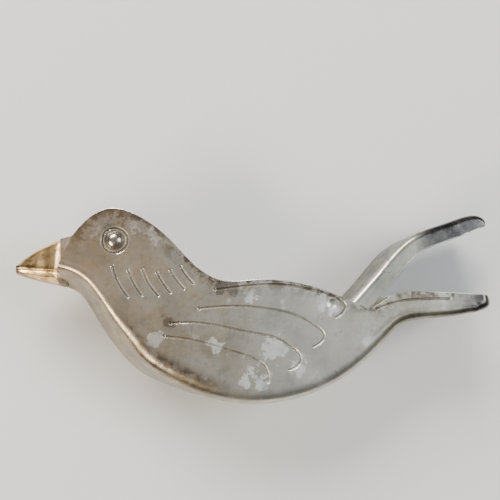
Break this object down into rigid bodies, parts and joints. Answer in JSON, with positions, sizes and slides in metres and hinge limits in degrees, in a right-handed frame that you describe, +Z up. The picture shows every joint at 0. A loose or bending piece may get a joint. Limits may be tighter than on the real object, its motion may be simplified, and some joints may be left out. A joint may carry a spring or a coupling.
{
  "type": "bird-shaped lemon squeezer",
  "caption": "Table squeezer for a lemon wedge, pressed from silver-plated sheet as a bird lying on its side, with a hinged press lever.",
  "frame": {"origin": "middle of the bounding box's footprint, at the level the squeezer rests on when it lies on its side", "axes": "+X from the beak to the tail, +Y to the bird's back, +Z up out of the side the squeezer lies on, along the eye rivet"},
  "size_m": [0.125, 0.0496, 0.0246],
  "materials": {
    "plated_shell": "worn satin silver plate with brown tarnish",
    "plated_lever": "worn satin silver plate, polished at the handle",
    "rivet": "polished silver plate",
    "bare_brass": "dull"
  },
  "bodies": {
    "squeezer_body": {"body_half_left": "plated_shell", "body_half_right": "plated_shell", "eye_rivet": "rivet", "spacer_tube": "bare_brass", "washer_left": "bare_brass", "washer_right": "bare_brass"},
    "lever": {"press_lever": "plated_lever"}
  },
  "joints": [
    {"name": "press_squeeze", "type": "hinge", "parent": "squeezer_body", "child": "lever", "pos_m": [-0.0355, 0.01616, 0.0123], "axis": [0, 0, 1], "range_deg": [-8, 48]}
  ]
}
